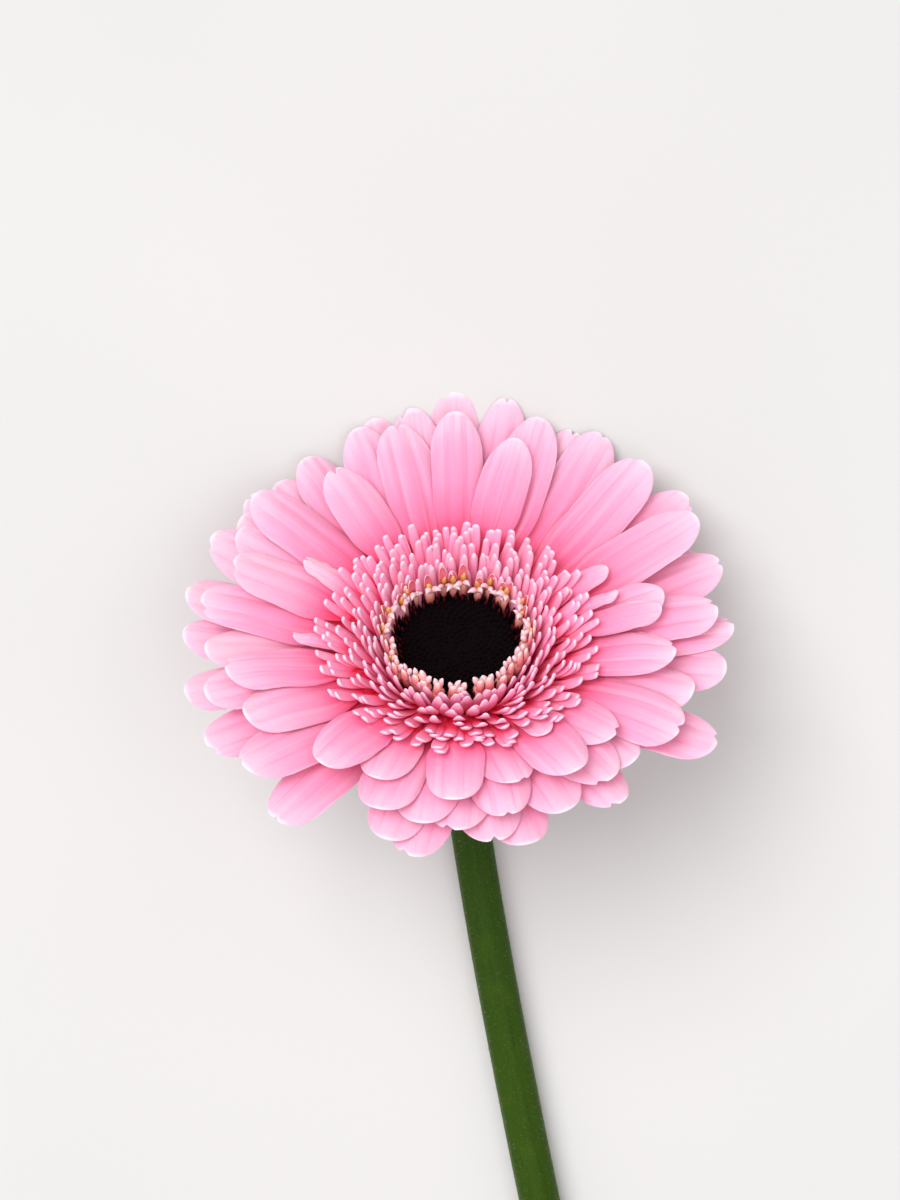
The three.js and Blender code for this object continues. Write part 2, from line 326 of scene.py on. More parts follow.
class Shader:
    """A Principled material with short calls for the nodes that these materials use."""

    def __init__(self, name, roughness, subsurface=0.0, radius=(1.0, 0.4, 0.4), scale=0.8 * MM):
        self.material = bpy.data.materials.new(name)
        self.material.use_nodes = True
        self.tree = self.material.node_tree
        self.surface = self.tree.nodes["Principled BSDF"]
        self.set("Roughness", roughness)
        self.set("Subsurface Weight", subsurface)
        self.set("Subsurface Radius", radius)
        self.set("Subsurface Scale", scale)

    def set(self, name, value):
        self.surface.inputs[name].default_value = value

    def sheen(self, weight, roughness, tint=(1.0, 1.0, 1.0, 1.0)):
        self.set("Sheen Weight", weight)
        self.set("Sheen Roughness", roughness)
        self.set("Sheen Tint", tint)

    def node(self, kind, **settings):
        node = self.tree.nodes.new("ShaderNode" + kind)
        for key, value in settings.items():
            setattr(node, key, value)
        return node

    def feed(self, socket, value):
        if isinstance(value, bpy.types.NodeSocket):
            self.tree.links.new(value, socket)
        else:
            socket.default_value = value

    def attribute(self, name):
        return self.node("Attribute", attribute_name=name).outputs["Fac"]

    def place(self):
        return self.node("TexCoord").outputs["Object"]

    def math(self, operation, first, second=0.0):
        node = self.node("Math", operation=operation)
        self.feed(node.inputs[0], first)
        self.feed(node.inputs[1], second)
        return node.outputs[0]

    def times(self, first, second):
        return self.math("MULTIPLY", first, second)

    def stretched(self, across, along, tone=0.0):
        """Coordinates that follow the shape, each attribute times its scale."""
        node = self.node("CombineXYZ")
        scales = (("across", across), ("along", along), ("tone", tone))
        for socket, (name, scale) in zip(node.inputs, scales):
            self.feed(socket, self.times(self.attribute(name), scale))
        return node.outputs[0]

    def noise(self, vector, scale, detail=3.0, roughness=0.5):
        node = self.node("TexNoise")
        self.feed(node.inputs["Vector"], vector)
        node.inputs["Scale"].default_value = scale
        node.inputs["Detail"].default_value = detail
        node.inputs["Roughness"].default_value = roughness
        return node.outputs["Fac"]

    def ramp(self, share, *stops):
        node = self.node("ValToRGB")
        self.feed(node.inputs["Fac"], share)
        elements = node.color_ramp.elements
        while len(elements) < len(stops):
            elements.new(0.5)
        for element, (position, colour) in zip(elements, stops):
            element.position = position
            element.color = linear(*colour)
        return node.outputs["Color"]

    def band(self, share, low, high, strength=1.0):
        node = self.node("MapRange", interpolation_type="SMOOTHSTEP")
        self.feed(node.inputs["Value"], share)
        node.inputs["From Min"].default_value = low
        node.inputs["From Max"].default_value = high
        node.inputs["To Max"].default_value = strength
        return node.outputs["Result"]

    def mix(self, share, first, second):
        node = self.node("Mix", data_type="RGBA")
        self.feed(node.inputs[0], share)
        self.feed(node.inputs[6], first)
        self.feed(node.inputs[7], second)
        return node.outputs[2]

    def tint(self, body, share, colour):
        return self.mix(share, body, linear(*colour))

    def colour(self, value):
        self.feed(self.surface.inputs["Base Color"], value)

    def bump(self, height, strength, distance):
        node = self.node("Bump")
        node.inputs["Strength"].default_value = strength
        node.inputs["Distance"].default_value = distance
        self.feed(node.inputs["Height"], height)
        self.tree.links.new(node.outputs["Normal"], self.surface.inputs["Normal"])

    def grained(self, body, scale, band, colour, strength, distance, detail=2.0):
        """Ends a material with fine grain in its colour and its relief."""
        grain = self.noise(self.place(), scale, detail)
        self.colour(self.tint(body, self.band(grain, *band), colour))
        self.bump(grain, strength, distance)
        return self.material


def ray_material():
    shader = Shader("ray_petal", 0.55, 0.3, (1.0, 0.45, 0.6), 0.8 * MM)
    along, across = shader.attribute("along"), shader.attribute("across")
    tone, front = shader.attribute("tone"), shader.attribute("front")
    # The ramp's deeper pink towards the foot is the ray's own colour; the deep red of about the
    # first fifth of its length is painted shade where the tongues lie over it.
    body = shader.ramp(
        along, (0.0, (214, 8, 42)), (0.19, (230, 30, 78)), (0.34, (247, 106, 151)),
        (0.55, (249, 145, 185)), (0.8, (249, 171, 204)), (1.0, (251, 202, 222)),
    )
    veins = shader.noise(shader.stretched(3.2, 0.5, 31.0), 1.6, 3.0, 0.5)
    body = shader.tint(body, shader.band(veins, 0.5, 0.75, 0.3), (250, 128, 172))
    body = shader.tint(body, shader.band(veins, 0.5, 0.25, 0.22), (255, 214, 230))
    # Painted shade: a darker pink line along each of the two grooves, over the grooves that the
    # shape already has.
    shift = shader.times(shader.math("SUBTRACT", tone, 0.5), GROOVE_SHIFT)
    place = shader.math("ABSOLUTE", shader.math("SUBTRACT", across, shift))
    painted_groove_shade = shader.math("ABSOLUTE", shader.math("SUBTRACT", place, GROOVE_PLACE))
    painted_groove_shade = shader.times(shader.band(painted_groove_shade, 0.07, 0.0, 0.3), shader.band(along, 1.0, 0.8))
    body = shader.tint(body, painted_groove_shade, (240, 118, 166))
    # Greyer pink on rays with a high tone: partly random tone, partly painted light, since make_rays
    # raises the tone of the rays on the left side.
    grey_tone_and_painted_light = shader.times(shader.band(tone, 0.6, 1.0, 0.45), shader.band(along, 0.3, 0.7))
    body = shader.tint(body, grey_tone_and_painted_light, (240, 200, 214))
    # Paler edge along the sides and at the tip: partly the ray's own paler margin, partly a painted
    # highlight on the thin rim.
    rim = shader.band(shader.math("ABSOLUTE", across), 0.9, 1.0, 0.5)
    rim = shader.times(rim, shader.band(along, 0.5, 0.9))
    body = shader.tint(body, rim, (255, 232, 240))
    body = shader.tint(body, shader.band(along, 0.965, 1.0, 0.6), (255, 236, 240))
    cloud = shader.noise(shader.place(), 90.0, 2.0)
    body = shader.tint(body, shader.band(cloud, 0.45, 0.75, 0.2), (250, 146, 188))
    back = shader.math("SUBTRACT", 1.0, front)
    body = shader.tint(body, shader.times(back, 0.5), (248, 176, 204))
    shader.colour(body)
    shader.set("Specular IOR Level", 0.25)
    shader.sheen(0.06, 0.5)
    fine = shader.noise(shader.stretched(16.0, 3.0, 17.0), 1.5, 2.0)
    relief = shader.math("ADD", veins, shader.times(fine, 0.4))
    shader.bump(relief, 0.4, 0.3 * MM)
    return shader.material


def tongue_material():
    shader = Shader("tongue_petal", 0.5, 0.25, (1.0, 0.45, 0.55), 0.4 * MM)
    along, tone = shader.attribute("along"), shader.attribute("tone")
    # The deep red towards the foot is partly the florets' own deeper colour and partly painted shade
    # in the gaps between the tongues; the whitish last tip is partly the floret's own paler tip and
    # partly a painted highlight.
    body = shader.ramp(
        along, (0.0, (222, 8, 46)), (0.38, (246, 40, 92)), (0.6, (255, 138, 178)),
        (0.84, (255, 166, 202)), (0.94, (255, 196, 221)), (1.0, (255, 222, 236)),
    )
    body = shader.tint(body, shader.band(tone, 0.4, 1.0, 0.3), (253, 190, 214))
    shader.set("Specular IOR Level", 0.22)
    return shader.grained(body, 900.0, (0.4, 0.8, 0.2), (246, 136, 176), 0.15, 0.06 * MM)


def corolla_material():
    shader = Shader("disc_corolla", 0.4, 0.4, (1.0, 0.5, 0.4), 0.6 * MM)
    along, lobe = shader.attribute("along"), shader.attribute("front")
    body = shader.ramp(
        along, (0.0, (60, 8, 14)), (0.45, (150, 60, 56)), (0.8, (222, 140, 128)),
        (1.0, (240, 170, 160)),
    )
    pale = shader.ramp(along, (0.0, (226, 132, 126)), (0.4, (246, 184, 190)), (1.0, (255, 226, 234)))
    body = shader.mix(lobe, body, pale)
    return shader.grained(body, 1200.0, (0.5, 0.8, 0.25), (240, 160, 140), 0.2, 0.05 * MM)


def lip_material():
    shader = Shader("disc_outer_lip", 0.4, 0.5, (1.0, 0.45, 0.4), 0.8 * MM)
    along, front = shader.attribute("along"), shader.attribute("front")
    inner = shader.ramp(along, (0.0, (170, 60, 70)), (0.5, (232, 118, 140)), (1.0, (216, 92, 116)))
    outer = shader.ramp(along, (0.0, (214, 84, 96)), (0.5, (246, 152, 152)), (1.0, (255, 226, 222)))
    body = shader.mix(front, inner, outer)
    return shader.grained(body, 1100.0, (0.5, 0.8, 0.2), (246, 178, 170), 0.2, 0.05 * MM)


def anther_material():
    shader = Shader("anther_tube", 0.5, 0.25, (1.0, 0.6, 0.3), 0.5 * MM)
    along = shader.attribute("along")
    body = shader.ramp(
        along, (0.0, (120, 50, 28)), (0.4, (192, 112, 48)), (0.85, (222, 152, 76)),
        (1.0, (238, 196, 138)),
    )
    return shader.grained(body, 2200.0, (0.45, 0.7, 0.5), (238, 190, 96), 0.5, 0.08 * MM)


def bud_material(name, tip_colour):
    shader = Shader(name, 0.8)
    along = shader.attribute("along")
    body = shader.ramp(along, (0.0, (2, 0, 1)), (0.6, (6, 1, 3)), (1.0, tip_colour))
    shader.set("Specular IOR Level", 0.06)
    return shader.grained(body, 1500.0, (0.5, 0.8, 0.25), (20, 2, 8), 0.4, 0.08 * MM, detail=3.0)


def bud_cushion_material():
    """Dark on top, and as pale as the florets' own bases down its side."""
    shader = Shader("bud_cushion", 0.7)
    place = shader.node("VectorMath", operation="DOT_PRODUCT")
    shader.feed(place.inputs[0], shader.place())
    place.inputs[1].default_value = tuple(HEAD[2])
    height = shader.math("SUBTRACT", place.outputs["Value"], float(HEAD_CENTRE @ HEAD[2]))
    grain = shader.noise(shader.place(), 900.0, 3.0)
    side = shader.ramp(grain, (0.3, (150, 40, 62)), (0.7, (206, 120, 120)))
    dark = shader.band(height, -2.6 * MM, -1.6 * MM)
    shader.colour(shader.mix(dark, side, linear(6, 1, 3)))
    shader.set("Specular IOR Level", 0.06)
    shader.bump(grain, 0.4, 0.1 * MM)
    return shader.material


def bract_material():
    shader = Shader("green_bract", 0.6, 0.08, (0.5, 1.0, 0.3), 0.5 * MM)
    along, across = shader.attribute("along"), shader.attribute("across")
    body = shader.ramp(along, (0.0, (70, 96, 34)), (0.6, (58, 86, 26)), (1.0, (54, 60, 32)))
    veins = shader.noise(shader.stretched(6.0, 1.2, 23.0), 1.6, 4.0, 0.6)
    body = shader.tint(body, shader.band(veins, 0.45, 0.75, 0.5), (90, 114, 52))
    rim = shader.band(shader.math("ABSOLUTE", across), 0.75, 1.0, 0.5)
    body = shader.tint(body, rim, (120, 134, 88))
    shader.colour(body)
    shader.sheen(0.25, 0.4, (0.6, 0.8, 0.45, 1.0))
    shader.bump(veins, 0.5, 0.25 * MM)
    return shader.material


def stem_material():
    shader = Shader("green_stem", 0.6, 0.12, (0.5, 1.0, 0.3), 0.8 * MM)
    along = shader.attribute("along")
    # The darker, greyer green at the neck, under the head, is painted shade.
    body = shader.ramp(
        along, (0.0, (38, 60, 22)), (0.1, (42, 70, 10)), (0.3, (47, 74, 4)),
        (1.0, (48, 76, 5)),
    )
    ribs = shader.noise(shader.stretched(9.0, 14.0), 1.0, 4.0, 0.6)
    body = shader.tint(body, shader.band(ribs, 0.45, 0.75, 0.5), (36, 54, 4))
    blotches = shader.noise(shader.place(), 160.0, 3.0)
    body = shader.tint(body, shader.band(blotches, 0.5, 0.8, 0.3), (70, 94, 12))
    down = shader.noise(shader.place(), 2600.0, 3.0, 0.7)
    body = shader.tint(body, shader.band(down, 0.52, 0.72, 0.35), (84, 108, 40))
    shader.colour(body)
    shader.set("Specular IOR Level", 0.12)
    shader.sheen(0.16, 0.35, (0.6, 0.8, 0.4, 1.0))
    relief = shader.math("ADD", ribs, shader.times(down, 0.5))
    shader.bump(relief, 0.5, 0.15 * MM)
    return shader.material


def cut_face_material():
    shader = Shader("cut_stem_flesh", 0.4, 0.3, (0.7, 1.0, 0.4), 1.0 * MM)
    along = shader.attribute("along")
    body = shader.ramp(
        along, (0.0, (84, 112, 40)), (0.1, (140, 166, 84)), (0.25, (186, 202, 134)),
        (0.6, (196, 208, 150)), (0.85, (166, 182, 112)), (1.0, (118, 134, 70)),
    )
    return shader.grained(body, 1500.0, (0.5, 0.7, 0.6), (122, 146, 76), 0.4, 0.15 * MM)


def hair_material():
    shader = Shader("pale_hair", 0.6)
    along = shader.attribute("along")
    body = shader.ramp(along, (0.0, (96, 118, 62)), (1.0, (188, 200, 160)))
    shader.colour(body)
    return shader.material


def receptacle_material():
    shader = Shader("receptacle_flesh", 0.6, 0.1, (0.6, 1.0, 0.4), 0.8 * MM)
    grain = shader.noise(shader.place(), 400.0, 3.0)
    shader.colour(shader.ramp(grain, (0.3, (120, 16, 44)), (0.7, (176, 34, 72))))
    shader.bump(grain, 0.3, 0.2 * MM)
    return shader.material


# ---- Ray florets, laid on one another from the lowest up ----
class Pile:
    """Height of what already lies in the head's frame, on a square grid."""

    step = 0.5
    reach = 62.0
    empty = -99.0

    def __init__(self):
        size = int(2 * self.reach / self.step) + 1
        self.height = np.full((size, size), self.empty)

    def cells(self, points):
        cell = np.round((points[..., :2] + self.reach) / self.step).astype(int)
        return np.clip(cell, 1, len(self.height) - 2)

    def under(self, points):
        cell = self.cells(points)
        found = [
            self.height[cell[..., 0] + i, cell[..., 1] + j]
            for i in (-1, 0, 1)
            for j in (-1, 0, 1)
        ]
        return np.max(found, axis=0)

    def lay(self, top):
        fine = refined(refined(top, 0, 4), 1, 3)
        cell = self.cells(fine)
        np.maximum.at(self.height, (cell[..., 0], cell[..., 1]), fine[..., 2])


def refined(grid, axis, times):
    """The grid with points in between its own, so that laying it leaves no cell out."""
    count = grid.shape[axis]
    where = np.linspace(0, count - 1, (count - 1) * times + 1)
    low = np.minimum(where.astype(int), count - 2)
    share = (where - low).reshape([-1 if i == axis else 1 for i in range(3)])
    return np.take(grid, low, axis) * (1 - share) + np.take(grid, low + 1, axis) * share


def read_ray(name):
    """Azimuth, length, half width and middle line of a ray's solid, in the head's frame."""
    points = to_head(solid_points(name))
    middle = points[:, :2].mean(axis=0)
    azimuth = math.atan2(middle[1], middle[0])
    out = points[:, 0] * math.cos(azimuth) + points[:, 1] * math.sin(azimuth)
    side = points[:, 1] * math.cos(azimuth) - points[:, 0] * math.sin(azimuth)
    spine = np.abs(side) < 0.05
    line = np.polyfit(out[spine], points[spine, 2], 4)
    number = int(name.rsplit("_", 1)[1])
    row = 0 if number <= INNER_LAST else 1 if number <= MIDDLE_LAST else 2
    return {
        "name": name,
        "azimuth": azimuth,
        "start": out.min(),
        "reach": out.max() + 0.3,
        "line": line,
        "half": np.abs(side).max() * VISIBLE_WIDTH,
        "row": row,
        "sink": 0.0,
    }


def extra_rays(rays, like_row, name, places, **values):
    """Rays with no solid of their own, each like the nearest one of a row."""
    patterns = [ray for ray in rays if ray["row"] == like_row]
    extras = []
    for number, (azimuth, reach, *width) in enumerate(places, start=1):
        turn = math.radians(azimuth)
        nearest = max(patterns, key=lambda ray: math.cos(ray["azimuth"] - turn))
        values.update(name=f"{name}_{number:02d}", azimuth=turn, reach=reach)
        if width:
            values["half"] = width[0] / 2
        extras.append(nearest | values)
    return extras


def all_rays():
    """The solids' rays, the rear ones and the small ones, from the lowest foot up."""
    names = sorted(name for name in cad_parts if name.startswith("ray_floret_"))
    rays = [read_ray(name) for name in names]
    rear = extra_rays(rays, 2, "rear_ray_floret", EXTRA_RAYS, row=3, sink=LEVEL_STEP)
    small = extra_rays(rays, 0, "small_ray_floret", SMALL_RAYS, row=4, sink=-LEVEL_STEP)
    rays += rear + small
    rays.sort(key=lambda ray: np.polyval(ray["line"], ray["start"] + 1.0) - ray["sink"])
    return rays


COLUMNS = np.array([-1, -0.94, -0.84, -0.72, -0.6, -0.48, -0.36, -0.24, -0.12, 0,
                    0.12, 0.24, 0.36, 0.48, 0.6, 0.72, 0.84, 0.94, 1])
# Lift of the tips in the inner, middle, outer, rear and small row.
RAY_ROW_LIFT = (1.8, 0.5, -0.4, -0.8, 0.4)
RAY_GRID_ROWS = 40


def ray_grid(ray, tone, noise):
    """Middle surface of one ray in the head's frame, with its shares along and across."""
    start, reach, half = ray["start"], ray["reach"], ray["half"]
    near = max(0.0, -math.sin(ray["azimuth"]))
    reach -= NEAR_SHORTENING * near**2
    length = reach - start
    share = 1 - (1 - np.linspace(0, 1, RAY_GRID_ROWS)) ** 1.25
    across = np.broadcast_to(COLUMNS, (RAY_GRID_ROWS, len(COLUMNS)))
    half = half * noise.uniform(0.93, 1.06) * (1 + NEAR_WIDENING * near)
    tip = half * noise.uniform(1.15, 1.5)
    roundness = 1 - rounded(COLUMNS, TIP_POWER)
    notch = np.zeros(len(COLUMNS))
    if noise.random() < NOTCH_CHANCE:
        middle = noise.choice((-0.32, 0.0, 0.32))
        notch += noise.uniform(0.6, 1.3) * bell(COLUMNS, middle, 0.09)
    column_length = length - tip * roundness - notch
    out = start + share[:, None] * column_length[None]
    along = (out - start) / length
    claw = CLAW_WIDTH + (1 - CLAW_WIDTH) * smooth(0, 0.48, along)
    narrowing = 1 - noise.uniform(0.02, 0.12) * smooth(0.6, 1.0, along)
    wave = 1 + 0.03 * np.sin(along * noise.uniform(5, 9) + noise.uniform(0, 6))
    side = across * half * claw * narrowing * wave
    bend = noise.uniform(-1.0, 1.0)
    side = side + bend * smooth(0.2, 1.0, along) ** 2
    height = np.polyval(ray["line"], np.clip(out, start, reach)) - ray["sink"]
    height = height + RAY_ROW_LIFT[ray["row"]] * along**1.5
    curl = noise.uniform(0.1, 0.9)
    height -= curl * smooth(0.55, 1.05, along) ** 2 * 1.6
    crown = noise.uniform(0.5, 1.3) * smooth(0.1, 0.6, along)
    height -= crown * across**2 * (1 + 0.6 * smooth(0.7, 1.0, along))
    shift = GROOVE_SHIFT * (tone - 0.5)
    grooves = bell(across, shift - GROOVE_PLACE, 0.11) + bell(across, shift + GROOVE_PLACE, 0.11)
    depth = noise.uniform(0.3, 0.75) * (1 - 0.65 * near) * min(1.0, (half / 4.5) ** 2)
    height -= depth * grooves * smooth(0.05, 0.3, along) * smooth(1.0, 0.85, along)
    height += noise.uniform(-0.05, 0.05) * side * smooth(0.3, 1.0, along)
    ripple = np.sin(along * noise.uniform(10, 16) + across * 2 + noise.uniform(0, 6))
    height += 0.12 * ripple * np.abs(across) * smooth(0.2, 0.6, along)
    cosine, sine = math.cos(ray["azimuth"]), math.sin(ray["azimuth"])
    grid = np.stack([out * cosine - side * sine, out * sine + side * cosine, height], axis=2)
    return grid, along, across


def ray_half_thickness(along, across):
    return (0.3 - 0.12 * along) * rounded(across, 3)


def settled(grid, half_thickness, across, pile):
    """Lifts and rolls a ray so that it lies on those under it and on the floor."""
    below = np.maximum(pile.under(grid), floor_height(grid))
    need = below + RAY_GAP + half_thickness - grid[..., 2]
    need = np.clip(need, 0, MOST_LIFT)
    left = np.where(across[0] < 0.05, need, 0).max(axis=1)
    right = np.where(across[0] > -0.05, need, 0).max(axis=1)
    left, right = eased(left), eased(right)
    share = (across + 1) / 2
    lift = left[:, None] * (1 - share) + right[:, None] * share
    rest = np.clip(need - lift, 0, None)
    rest = eased(rest.max(axis=1))[:, None] * np.ones_like(lift)
    grid[..., 2] += lift + rest * 0.8
    sunk = floor_height(grid) + FLOOR_GAP + half_thickness - grid[..., 2]
    grid[..., 2] += np.clip(sunk, 0, None)
    return grid


def eased(values, slope=0.12):
    """The values raised and smoothed, so that they never change steeply."""
    count = len(values)
    distance = np.abs(np.arange(count)[:, None] - np.arange(count)[None])
    raised = (values[None] - slope * distance).max(axis=1)
    kernel = np.array([1, 2, 3, 2, 1]) / 9
    padded = np.pad(raised, 2, mode="edge")
    return np.maximum(np.convolve(padded, kernel, "valid"), 0)


def make_rays():
    """Builds the petals one by one and returns the pile that they make."""
    material = ray_material()
    pile = Pile()
    for ray in all_rays():
        noise = random.Random(ray["name"])
        # Rays on the left side get a higher tone, which paints them greyer as painted light; the
        # tone also shifts their grooves.
        left_side_painted_light = 0.35 * max(0.0, -math.cos(ray["azimuth"]))
        tone = min(1.0, noise.random() * 0.75 + left_side_painted_light)
        grid, along, across = ray_grid(ray, tone, noise)
        half_thickness = ray_half_thickness(along, across)
        grid = settled(grid, half_thickness, across, pile)
        top = grid.copy()
        top[..., 2] += half_thickness
        pile.lay(top)
        skin = Skin()
        leaf(skin, grid, half_thickness, along, across, tone, thin=True)
        nodes = (ray["name"],) if ray["row"] < 3 else ()
        skin.build(f"petal_{ray['name']}", material, "ray_petals", *nodes)
    return pile


# ---- Tongues of the trans florets ----
def curve_between(first, control, last, share):
    share = share[:, None]
    first, control, last = (np.asarray(point) for point in (first, control, last))
    return first * (1 - share) ** 2 + 2 * control * share * (1 - share) + last * share**2


def tongue(skin, azimuth, path, width, noise):
    """One narrow floret along a curve, its edges turned in or out and its tip hooked in."""
    base, control, tip = path
    rows, columns = 19, 9
    share = 1 - (1 - np.linspace(0, 1, rows)) ** 1.5
    across = np.sin(np.linspace(-1, 1, columns) * math.pi / 2)
    length = math.dist(base, control) + math.dist(control, tip)
    roundness = 1 - rounded(across)
    near = max(0.0, -math.sin(azimuth))
    pointed = 0.7 + 0.35 * near
    shortened = 1 - (width * noise.uniform(pointed, pointed + 0.25) / length) * roundness
    middle = np.zeros((rows, columns, 3))
    along = np.zeros((rows, columns))
    drift = noise.uniform(-0.04, 0.04)
    lean = noise.uniform(-0.4, 0.4) * (1 + 1.5 * near)
    crease = noise.uniform(-0.1, 0.16) * width
    for j, side in enumerate(across):
        where = share * shortened[j]
        line = curve_between(base, control, tip, where)
        half = width / 2 * (0.62 + 0.38 * smooth(0.1, 0.7, where))
        half = half * (1 - (0.34 - 0.16 * near) * smooth(0.62, 1.0, where))
        channel = crease * side**2 * smooth(0.2, 0.8, where)
        hook = 0.35 * smooth(0.85, 1.0, where) ** 2
        radius = line[:, 0] - hook - channel
        height = line[:, 1] + channel * 0.35 + lean * side * half * 0.4
        turn = azimuth + side * half / np.maximum(radius, 1) + drift * where
        middle[:, j] = np.stack([radius * np.cos(turn), radius * np.sin(turn), height], axis=1)
        along[:, j] = where
    thickness = 0.38 - 0.12 * near
    near_tip = np.sqrt(np.clip((1 - along) / (0.45 * width / length), 0, 1))
    half_thickness = thickness * rounded(across) * (0.25 + 0.75 * near_tip)
    leaf(skin, middle, half_thickness, along, across, noise.random())


def tongue_path(pile, azimuth, radius, height):
    """From the receptacle out over the rays' claws, then up to the tip."""
    low_radius = radius - 1.5
    places = np.array([outwards(azimuth) * place for place in (low_radius, radius)])
    claws, rays = np.maximum(pile.under(places), LOWEST_CLAW)
    inwards = (25.2 - radius) / 10
    height = max(height, rays + 1.7)
    base = (TONGUE_FOOT[0] - 0.4 * inwards, TONGUE_FOOT[1])
    control = (low_radius - 0.9 * inwards, min(claws + 0.9, height - 2.5) - 2.0 * inwards)
    return base, control, (radius, height)


def make_tongues(pile):
    material = tongue_material()
    skins = {}
    for row, (name, count, radius, height) in enumerate(TONGUE_ROWS):
        skin = skins.setdefault(name, Skin())
        noise = random.Random(f"tongues {row}")
        for number in range(count):
            azimuth = 2 * math.pi * (number + 0.5 * (row % 2)) / count
            azimuth += noise.uniform(-0.06, 0.06)
            far = math.sin(azimuth)
            outer = (radius - 14) / 11
            tip_radius = radius - 1.1 * outer * far + noise.uniform(-0.9, 0.9)
            tip_height = height + 0.9 * max(far, -0.3) + noise.uniform(-0.7, 0.7)
            path = tongue_path(pile, azimuth, tip_radius, tip_height)
            widening = 1.08 + 0.22 * max(0.0, -far) - 0.1 * max(0.0, far)
            width = noise.uniform(1.55, 2.2) * widening
            tongue(skin, azimuth, path, width, noise)
    for name, skin in skins.items():
        skin.build(f"tongues_{name}", material, "trans_petals", name)


# ---- Open disc florets and their anthers ----
def disc_floret(corollas, lips, anthers, azimuth, noise):
    """One open floret: its tube, two curled lobes, the outer lip and, on most, the anthers."""
    out = outwards(azimuth)
    aside = np.array([-math.sin(azimuth), math.cos(azimuth), 0])
    up = np.array([0, 0, 1.0])
    size = noise.uniform(0.85, 1.12)
    radius = DISC_FLORET_RADIUS + noise.uniform(-0.35, 0.45)
    foot = out * (radius - 0.6) - up * 2.0
    near = (1 - math.sin(azimuth)) / 2
    sideways, far = abs(math.cos(azimuth)), max(0.0, math.sin(azimuth))
    lean_in = 0.55 * near - 0.1 - 0.8 * sideways**2 + 0.8 * far**2 + noise.uniform(-0.35, 0.35)
    head = out * (radius - lean_in) + up * (3.7 + 0.5 * near + noise.uniform(-0.8, 0.6))
    head = head + aside * noise.uniform(-0.4, 0.4) + out * noise.uniform(-0.35, 0.35) * (1 - near)
    share = np.linspace(0, 1, 7)
    line = foot + (head - foot) * share[:, None]
    radii = np.array([0.55, 0.68, 0.8, 0.92, 1.0, 0.96, 0.5]) * (0.85 + 0.3 * near)
    tube(corollas, line, radii * size, 10, noise.random())
    bend = np.linspace(0, 1, 8)
    spread = 0.75 + 0.5 * near + noise.uniform(-0.2, 0.2)
    for turn in (math.pi - spread, math.pi + spread):
        direction = out * math.cos(turn) + aside * math.sin(turn)
        curl = noise.uniform(0.9, 1.7) * (1.15 - 0.6 * near)
        length = noise.uniform(0.3, 1.3) + 1.7 * near
        lobe = (
            head
            + direction * (0.3 + 1.1 * curl * bend**1.2)[:, None]
            + up * (length * np.sin(bend * (2.5 - near)))[:, None]
        )
        radii = np.array([0.44, 0.54, 0.6, 0.6, 0.52, 0.38, 0.22, 0.05])
        tube(corollas, lobe, radii * size * noise.uniform(0.75, 1.1), 9, noise.random(), front=1.0)
    outer_lip(lips, head, out, aside, near, noise)
    if noise.random() < ANTHER_CHANCE - 0.5 * near:
        reach = noise.uniform(1.0, 2.0)
        tilt = out * noise.uniform(-0.2, 0.4) + aside * noise.uniform(-0.5, 0.5)
        line = head + out * 0.1 + up * (0.5 + reach * bend)[:, None] + tilt * (bend**2)[:, None]
        radii = np.array([0.34, 0.44, 0.52, 0.55, 0.52, 0.42, 0.26, 0.08])
        tube(anthers, line, radii * size, 9, noise.random())


def outer_lip(skin, head, out, aside, near, noise):
    """Broad pointed lip on the floret's outer side."""
    across = np.sin(np.linspace(-1, 1, 9) * math.pi / 2)
    share = np.linspace(0, 1, 13)
    length = noise.uniform(3.2, 4.5) - 0.8 * near
    half = noise.uniform(0.78, 1.0) - 0.12 * near
    width = half * rounded(np.clip((share - 0.35) / 0.65, 0, 1)) + 0.03
    lean = noise.uniform(0.4, 1.2) - 0.9 * near
    middle = (
        head
        + out * (0.75 + lean * share[:, None] ** 2 - 0.3 * across**2)[..., None]
        + aside * (across * width[:, None])[..., None]
        + np.array([0, 0, 1.0]) * (length * share - 0.9)[:, None, None]
    )
    half_thickness = (0.24 + 0.1 * near) * rounded(across) * rounded(share, 3)[:, None]
    leaf(skin, middle[:, ::-1], half_thickness, share[:, None], across, noise.random())


def make_disc_florets():
    corollas, lips, anthers = Skin(), Skin(), Skin()
    noise = random.Random("disc")
    for number in range(DISC_FLORETS):
        azimuth = 2 * math.pi * number / DISC_FLORETS + noise.uniform(-0.05, 0.05)
        disc_floret(corollas, lips, anthers, azimuth, noise)
    corollas.build("disc_floret_corollas", corolla_material(), "disc_florets", "open_disc_florets")
    lips.build("disc_floret_outer_lips", lip_material(), "disc_florets")
    anthers.build("disc_floret_anthers", anther_material(), "disc_florets")


# ---- Dark buds in a spiral ----
def bud(skin, azimuth, radius, ground, height, lean, thick, noise):
    out = outwards(azimuth)
    aside = np.array([noise.uniform(-0.15, 0.15), noise.uniform(-0.15, 0.15), 0])
    where = np.linspace(0, 1, 6)
    foot = out * radius + np.array([0, 0, ground])
    line = foot + np.array([0, 0, height]) * where[:, None]
    line = line + (out * lean + aside) * (where**2)[:, None]
    tube(skin, line, np.array([0.8, 1.0, 0.95, 0.75, 0.45, 0.1]) * thick, 7, noise.random())


